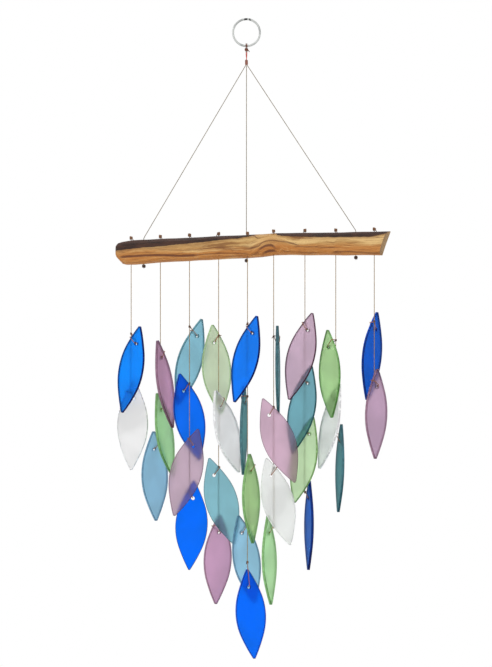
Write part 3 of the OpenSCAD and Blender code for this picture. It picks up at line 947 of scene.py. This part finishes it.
# how each leaf hangs: tip side, string side, tilt, lean, turn, share off balance
hang = [
    [[1, -1, 16, 0, -42, -0.12], [1, 1, 2, 0, -18, 0]],
    [[-1, -1, 12, 5, 65, -0.12], [-1, -1, 22, 0, 64, 0.05], [-1, 1, 2, 0, 40, -0.12]],
    [[1, 1, 14, 8, 42, -0.25], [-1, 1, 14, 0, 27, 0.06], [1, -1, 16, 0, 15, 0.14],
     [1, 1, 3, 0, 0, -0.06]],
    [[-1, 1, 6, 0, 30, 0], [-1, -1, 23, 0, 48, 0.25], [-1, -1, 16, 0, 5, 0.08],
     [1, 1, 3, 0, 34, -0.05]],
    [[1, -1, 16, 4, -42, -0.11], [1, 1, 5, 0, 80, -0.06], [-1, -1, 4, 0, 60, 0],
     [-1, 1, 13, 0, 37, 0.06], [-1, -1, 5, 0, 25, 0.05]],
    [[-1, -1, 8, 0, 85, 0], [-1, -1, 21, 4, 0, 0.16], [-1, -1, 15, 4, 15, 0.09],
     [-1, 1, 5, 0, 66, -0.04]],
    [[1, -1, 14, 6, -34, 0], [1, -1, 11, 6, -38, -0.06], [1, -1, 16, 0, -42, -0.06],
     [1, 1, 3, 0, -78, 0]],
    [[-1, -1, 12, 6, -54, 0], [1, -1, 18, 5, -62, 0], [1, 1, 10, 0, -80, 0]],
    [[1, 1, 12, 0, 54, -0.06], [1, -1, 2, 0, 48, 0.06]],
]
# each leaf's glass: the sheet that it was cut from, and its own shade of it
leafGlass = [
    [("blue", (14, 148, 255)), ("white", (230, 230, 230))],
    [("mauve", (194, 157, 184)), ("green", (170, 212, 167)), ("light_blue", (145, 188, 212))],
    [("teal", (144, 194, 211)), ("blue", (10, 116, 240)), ("mauve", (195, 173, 189)),
     ("blue", (0, 114, 244))],
    [("pale_green", (197, 211, 184)), ("white", (228, 229, 230)), ("teal", (138, 188, 200)),
     ("mauve", (200, 162, 191))],
    [("blue", (25, 135, 247)), ("dark_teal", (99, 157, 161)), ("green", (172, 203, 151)),
     ("light_blue", (154, 199, 222)), ("blue", (0, 114, 244))],
    [("dark_teal", (104, 152, 158)), ("mauve", (206, 177, 195)), ("white", (228, 230, 228)),
     ("green", (187, 223, 178))],
    [("mauve", (203, 179, 197)), ("teal", (124, 178, 190)), ("pale_green", (201, 227, 187)),
     ("blue", (46, 114, 195))],
    [("green", (179, 214, 160)), ("white", (221, 226, 223)), ("teal", (90, 148, 153))],
    [("blue", (16, 100, 205)), ("mauve", (194, 167, 190))],
]
frosted = {"roughness": 0.72, "ior": 1.2, "mottle": 0.035, "bump": 0.1, "clear": 0.9}
# the ground edges: their lit tone up and to the left, the deeper tone of painted shade down and to
# the right, how far an edge that faces front or back takes the deeper tone too, and how clear it is
edgeGlass = {
    "blue": ((16, 92, 214), (2, 12, 74), 0.85, 0.55),
    "white": ((250, 250, 250), (238, 239, 240), 0, 0.1),
    "mauve": ((154, 118, 138), (66, 32, 50), 0.1, 0.55),
    "green": ((134, 184, 116), (84, 134, 66), 0, 0.55),
    "light_blue": ((106, 148, 176), (48, 78, 104), 0.3, 0.55),
    "teal": ((110, 160, 172), (36, 80, 90), 0.7, 0.55),
    "dark_teal": ((92, 134, 142), (46, 88, 96), 0.3, 0.55),
    "pale_green": ((168, 200, 142), (112, 156, 86), 0, 0.55),
}


def frostedGlass(name, colour):
    m = newMaterial(name)
    coords = m.objectCoords()
    cloud = m.noise(coords, 28, 2, 0.4)
    speck = m.noise(coords, 900, 2)
    # the tint runs a little lighter and darker in soft random patches, painted light that stands for
    # the bands of light reflected on the frosted faces
    low = shade(colour, 1 - frosted["mottle"])
    high = shade(colour, 1 + frosted["mottle"])
    tint = m.mix(m.ramp(cloud, 0.35, 0.65), low, high)
    tint = m.mix(m.ramp(speck, 0.62, 0.8, 0, 0.1), tint, shade(colour, 1.12))
    rough = frosted["roughness"]
    return m.principled({
        "Base Color": tint, "Roughness": m.ramp(cloud, 0.3, 0.7, rough * 0.9, rough * 1.1),
        "IOR": frosted["ior"], "Transmission Weight": frosted["clear"],
        "Normal": m.bump(speck, frosted["bump"], 0.15 * mm)})


def groundEdge(name, sheet):
    litTone, shadeAndDepthTone, faceOn, clear = edgeGlass[sheet]
    m = newMaterial(name)
    coords = m.objectCoords()
    grain = m.noise(coords, 1500, 2)
    chips = m.ramp(m.noise(coords, 260, 3), 0.4, 0.7)
    # painted light and shade: edges facing up and to the left keep the lit tone, and the far edges,
    # facing down and to the right, take the deeper tone as if shaded from a light above left; edges
    # that face front or back take the deeper tone too, and the deeper tone lets less light through
    side, front, rise = m.split(m.normal())
    facing = m.minus(m.times(side, 0.8), m.times(rise, 0.6))
    shadeAndDepth = m.math("MAXIMUM", m.ramp(facing, -0.25, 0.5),
                  m.ramp(m.math("ABSOLUTE", front), 0.55, 0.8, 0, faceOn))
    near = m.mix(chips, shade(litTone, 0.92), shade(litTone, 1.08))
    far = m.mix(chips, shade(shadeAndDepthTone, 0.86), shade(shadeAndDepthTone, 1.14))
    return m.principled({
        "Base Color": m.mix(shadeAndDepth, near, far), "Roughness": 0.5, "IOR": frosted["ior"],
        "Transmission Weight": m.ramp(shadeAndDepth, 0, 1, clear, 0.45 * clear, smooth=False),
        "Normal": m.bump(grain, 0.25, 0.1 * mm)})


# each side is a belly arc and two tip arcs that run into it at the shoulders. Gives the points
# down the right side and up the left, in (x, z), and the half width at a height
def leafOutline():
    halfLength, halfWidth = leafShape["length"] / 2, leafShape["width"] / 2
    shoulderW, shoulder = leafShape["shoulderWidth"] / 2, leafShape["shoulder"]
    drop = halfWidth - shoulderW
    bellyR = (shoulder ** 2 + drop ** 2) / (2 * drop)
    bellyEnd = math.asin(shoulder / bellyR)
    chord = (halfLength - shoulder, shoulderW - leafShape["tipWidth"] / 2)
    tipR = math.hypot(*chord) / (2 * math.sin(math.atan2(chord[1], chord[0]) - bellyEnd))
    centre = (shoulder - tipR * math.sin(bellyEnd), shoulderW - tipR * math.cos(bellyEnd))

    def half(v):
        if abs(v) < shoulder:
            return math.sqrt(bellyR ** 2 - v * v) - bellyR + halfWidth
        return centre[1] + math.sqrt(max(0, tipR ** 2 - (abs(v) - centre[0]) ** 2))

    steps = leafShape["outlineSteps"]
    right = []
    for i in range(steps + 1):
        v = (halfLength - leafShape["tipInset"]) * math.cos(math.pi * i / steps)
        right.append((half(v), v))
    return right + [(-x, v) for x, v in reversed(right)], half


outline, leafHalfWidth = leafOutline()


# the outline as one hand cut it, up to 0.15 mm inside the drawn one
def handCut(seed):
    chance = random.Random(seed)
    waves = [(chance.uniform(1, 7), chance.uniform(0, 6.3)) for _ in range(3)]
    ring = []
    for i, (x, z) in enumerate(outline):
        a = 2 * math.pi * i / len(outline)
        wander = 0.5 + 0.5 * sum(math.sin(round(k) * a + p) for k, p in waves) / len(waves)
        ring.append((x * (1 - leafShape["wanderAcross"] * wander),
                     z * (1 - leafShape["wanderAlong"] * wander)))
    return ring


# faces between two closed rows of points, the one row round the other
def joinRows(bm, first, second):
    faces = []
    for i in range(len(first)):
        j = (i + 1) % len(first)
        faces.append(bm.faces.new((first[i], second[i], second[j], first[j])))
    return faces


# one leaf, upright with its middle at the origin, with ground edges and a drilled hole
def leafMesh(seed):
    ring = handCut(seed)
    t, b = leafShape["thickness"] / 2, leafShape["bevel"]
    profile = [(b, -t), (b * 0.45, -t + b * 0.12), (b * 0.12, -t + b * 0.45), (0, -t + b),
               (0, 0), (0, t - b), (b * 0.12, t - b * 0.45), (b * 0.45, t - b * 0.12), (b, t)]
    bm = bmesh.new()
    rows = []
    for inset, y in profile:
        row = []
        for i, (x, z) in enumerate(ring):
            ax, az = ring[i - 1]
            cx, cz = ring[(i + 1) % len(ring)]
            d = Vector((cx - ax, cz - az)).normalized()
            # the ring runs clockwise from the tip, so the inside is to its right
            row.append(bm.verts.new((x + inset * d.y, y, z - inset * d.x)))
        rows.append(row)
    # the drilled hole, with a small chamfer at each face
    r, chamfer, steps = leafShape["hole"] / 2, leafShape["holeChamfer"], leafShape["holeSteps"]
    holeZ = leafShape["length"] / 2 - leafShape["holeFromTip"]
    holeRows = []
    for radius, y in ((r + chamfer, -t), (r, -t + chamfer), (r, t - chamfer), (r + chamfer, t)):
        holeRows.append([bm.verts.new((radius * math.sin(2 * math.pi * i / steps), y,
                                       holeZ + radius * math.cos(2 * math.pi * i / steps)))
                         for i in range(steps)])
    edgeFaces = []
    for a, c in zip(rows, rows[1:]):
        edgeFaces += joinRows(bm, a, c)
    for a, c in zip(holeRows, holeRows[1:]):
        edgeFaces += joinRows(bm, c, a)
    for face in edgeFaces:
        face.material_index = 1
        face.smooth = True
    for row, holeRow in ((rows[0], holeRows[0]), (rows[-1], holeRows[-1])):
        edges = [bm.edges.get((loop[i], loop[(i + 1) % len(loop)]))
                 for loop in (row, holeRow) for i in range(len(loop))]
        bmesh.ops.triangle_fill(bm, use_beauty=True, use_dissolve=False, edges=edges)
    bmesh.ops.recalc_face_normals(bm, faces=bm.faces)
    return bm


# where a leaf and its tie hang on the string, in millimetres from the knot, and the turns and
# mirrors that put them there
def leafPlaces(s, n):
    tipSide, stringSide, tilt, lean, turn, offShare = hang[s][n]
    tilt = math.radians(tilt)
    longLoop = s == 4 and n == 4
    belowTip = -ties["longLoop"] if longLoop else ties["belowTip"]
    up = Vector((math.sin(tilt), 0, math.cos(tilt)))
    across = Vector((-math.cos(tilt), 0, math.sin(tilt)))
    toMiddle = leafShape["length"] / 2 - belowTip
    toHole = leafShape["holeFromTip"] - belowTip
    knotAcross = (toMiddle * math.sin(tilt) - leafShape["width"] * offShare) / math.cos(tilt)
    middle = -up * toMiddle - across * knotAcross
    hole = -up * toHole - across * knotAcross
    r, t = strings["cordRadius"], leafShape["thickness"]
    bendR = t / 2 + ties["gap"] + r
    seat = leafShape["hole"] / 2 + math.sqrt((bendR - r) ** 2 - (t / 2) ** 2) - ties["gap"]
    bend = hole * (1 - seat / hole.length)
    past = ties["edgeGap"] + r
    if longLoop:
        edge = up * (belowTip + past) - across * knotAcross
    else:
        # beside the knot, or where the line from the knot to the hole meets the glass
        edge = across * (leafHalfWidth(toMiddle) + past - knotAcross)
        if leafHalfWidth(toMiddle) + past < knotAcross:
            low, high = 0.0, 1.0
            for _ in range(20):
                u = (low + high) / 2
                wide = leafHalfWidth(toMiddle - toHole * u) + past
                low, high = (u, high) if knotAcross * (1 - u) > wide else (low, u)
            edge = hole * u
    standOff = ties["knotDiameter"] / 2 + ties["standOff"] + t / 2
    swing = Matrix.Rotation(math.radians(lean), 4, "X")
    hand = Matrix.Diagonal((tipSide, stringSide, 1, 1))
    turned = Matrix.Translation(knotPlace(s, n)) @ Matrix.Rotation(math.radians(turn), 4, "Z")
    knotMatrix = turned @ hand
    leafMatrix = knotMatrix @ swing
    glassMatrix = (leafMatrix @ Matrix.Translation(middle + Vector((0, standOff, 0)))
                   @ Matrix.Rotation(tilt, 4, "Y"))
    return {"glass": glassMatrix, "tie": leafMatrix, "knot": knotMatrix, "bend": bend,
            "hole": hole, "edge": edge, "standOff": standOff, "bendR": bendR,
            "longLoop": longLoop}


def makeLeaf(s, n):
    sheet, colour = leafGlass[s][n]
    name = "%d_%d" % (s + 1, n + 1)
    node = "leaf_" + name
    seed = 100 * s + n
    places = leafPlaces(s, n)
    bm = leafMesh(seed)
    bm.transform(Matrix.Scale(mm, 4) @ places["glass"])
    if places["glass"].to_3x3().determinant() < 0:
        bmesh.ops.reverse_faces(bm, faces=bm.faces)
    data = bpy.data.meshes.new("glass_" + name)
    bm.to_mesh(data)
    bm.free()
    data.materials.append(frostedGlass("glass%d%d" % (s + 1, n + 1), colour))
    data.materials.append(groundEdge("edge%d%d" % (s + 1, n + 1), sheet))
    place(newObject("glass_" + name, data), node, (node,))
    vertices, faces = [], []
    wrappedKnot(Vector((0, 0, 0)), ties["knotDiameter"], ties["knotHeight"], vertices, faces, seed,
                tail=ties["knotTail"])
    vertices = [places["knot"] @ v for v in vertices]
    addPiece("knot_" + name, vertices, faces, knotThread, node, (node,))
    path = [places["tie"] @ p for p in tiePath(places)]
    twistedCord("tie_" + name, path, tieThread, node, (node,), seed)


# the middle of the tie loop, from the knot through the hole and back round the edge
def tiePath(places):
    knotR = ties["knotDiameter"] / 2
    standOff, bendR = places["standOff"], places["bendR"]
    bend, edge = places["bend"], places["edge"]
    near = Vector((0, standOff - bendR, 0))
    far = Vector((0, standOff + bendR, 0))

    def legEnd(point, rise):
        out = ties["legOut"] * knotR / math.hypot(point.x, point.y)
        return Vector((point.x * out, point.y * out, rise * ties["knotHeight"]))

    away = places["hole"].normalized()
    firstLeg = legEnd(bend + near, -ties["legRise"])
    path = [firstLeg * ties["legInKnot"], firstLeg, bend + near]
    for i in range(1, ties["turnSteps"]):
        a = math.pi * i / ties["turnSteps"]
        path.append(bend + away * (bendR * math.sin(a))
                    + Vector((0, standOff - bendR * math.cos(a), 0)))
    path.append(bend + far)
    if places["longLoop"]:
        path += [edge + far, legEnd(edge + far, ties["legRise"])]
    else:
        path += [edge + far, edge + near, legEnd(edge + near, ties["legRise"])]
    path.append(path[-1] * ties["legInKnot"])
    return roundedLegs(path)


# the corners of the legs are rounded, and the finer turn through the hole is left as it is
def roundedLegs(path):
    rounded = [path[0], path[1]]
    for before, p, after in zip(path[1:], path[2:], path[3:]):
        if (p - before).angle(after - p, 0) > 0.5:
            cut = min(ties["cornerCut"], (p - before).length / 3, (after - p).length / 3)
            a = p + (before - p).normalized() * cut
            c = p + (after - p).normalized() * cut
            rounded += [a, a.lerp(p, 0.5).lerp(p.lerp(c, 0.5), 0.5), c]
        else:
            rounded.append(p)
    rounded.append(path[-1])
    return rounded


stringThread = threadMaterial("stringThread", thread["string"])
lineThread = threadMaterial("lineThread", thread["line"])
tieThread = threadMaterial("tieThread", thread["tie"])
knotThread = threadMaterial("knotThread", thread["knot"], 0.2)
redThread = threadMaterial("redThread", thread["red"])
topThread = threadMaterial("topThread", thread["topKnot"], 0.2)
stopThread = threadMaterial("stopThread", thread["stopKnot"], 0.2)
hitchThread = threadMaterial("hitchThread", thread["hitch"])
gatherThread = threadMaterial("gatherThread", thread["gathering"])
makeHitch()
makeHangingCord()
makeGatheringKnot()
makeLines()
makeStrings()
print("cords and knots tied")
makeRing()
makeBeam()
print("ring and beam made")
for s in range(len(hang)):
    for n in range(len(hang[s])):
        makeLeaf(s, n)
print("leaves hung")

# the room, in metres; the lamps are square and aim at the middle of the chime
studio = {
    "floor": -1.02,
    "floorHalf": 3,
    "ambient": 0.62,
    "aim": (0, 0, -0.4),
    # name, place, side, power
    "lamps": [("key", (-1.5, -2.2, 0.8), 1.4, 26), ("fill", (1.9, -1.6, 0.1), 1.4, 9),
              ("top", (0.2, 0.9, 1.5), 1.2, 10)],
}


# white where the camera, a reflection or the glass sees it, and dimmer as a light
def makeWorld():
    m = NodeMaker(bpy.data.worlds.new("studio"), "ShaderNodeOutputWorld")
    rays = m.add("ShaderNodeLightPath").outputs
    seen = m.math("MAXIMUM", rays["Is Camera Ray"], rays["Is Glossy Ray"])
    seen = m.math("MAXIMUM", seen, rays["Is Transmission Ray"])
    white = (1, 1, 1, 1)
    light = m.add("ShaderNodeBackground", {"Color": white, "Strength": studio["ambient"]})
    sky = m.add("ShaderNodeBackground", {"Color": white})
    both = m.add("ShaderNodeMixShader", {0: seen, 1: light.outputs[0], 2: sky.outputs[0]})
    scene.world = m.finish(both)


def makeLamps():
    for name, where, size, power in studio["lamps"]:
        data = bpy.data.lights.new(name, "AREA")
        data.size = size
        data.energy = power
        obj = newObject(name, data)
        obj.location = where
        aim = Vector(studio["aim"]) - Vector(where)
        obj.rotation_euler = aim.to_track_quat("-Z", "Y").to_euler()


# pale, keeps the chime's shadow, and fades into the white around it
def paleFloor():
    m = newMaterial("paleFloor")
    coords = m.objectCoords()
    tint = m.mix(m.noise(coords, 60, 3), (244, 244, 243), (250, 250, 249))
    plain = m.add("ShaderNodeBsdfPrincipled", {"Base Color": tint, "Roughness": 0.8})
    glow = m.add("ShaderNodeEmission", {"Color": (1, 1, 1, 1), "Strength": 1.0})
    both = m.add("ShaderNodeMixShader", {0: m.ramp(m.distance(coords, (0, 0, 0)), 0.35, 1.1),
                                         1: plain.outputs[0], 2: glow.outputs[0]})
    return m.finish(both)


def makeFloor():
    half = studio["floorHalf"]
    data = bpy.data.meshes.new("floor")
    data.from_pydata([(-half, -half, 0), (half, -half, 0), (half, half, 0), (-half, half, 0)], [],
                     [(0, 1, 2, 3)])
    data.materials.append(paleFloor())
    floor = newObject("floor", data)
    floor.location = (0, 0, studio["floor"])


makeWorld()
makeLamps()
makeFloor()
scene.view_settings.view_transform = "Standard"
print("studio lit")
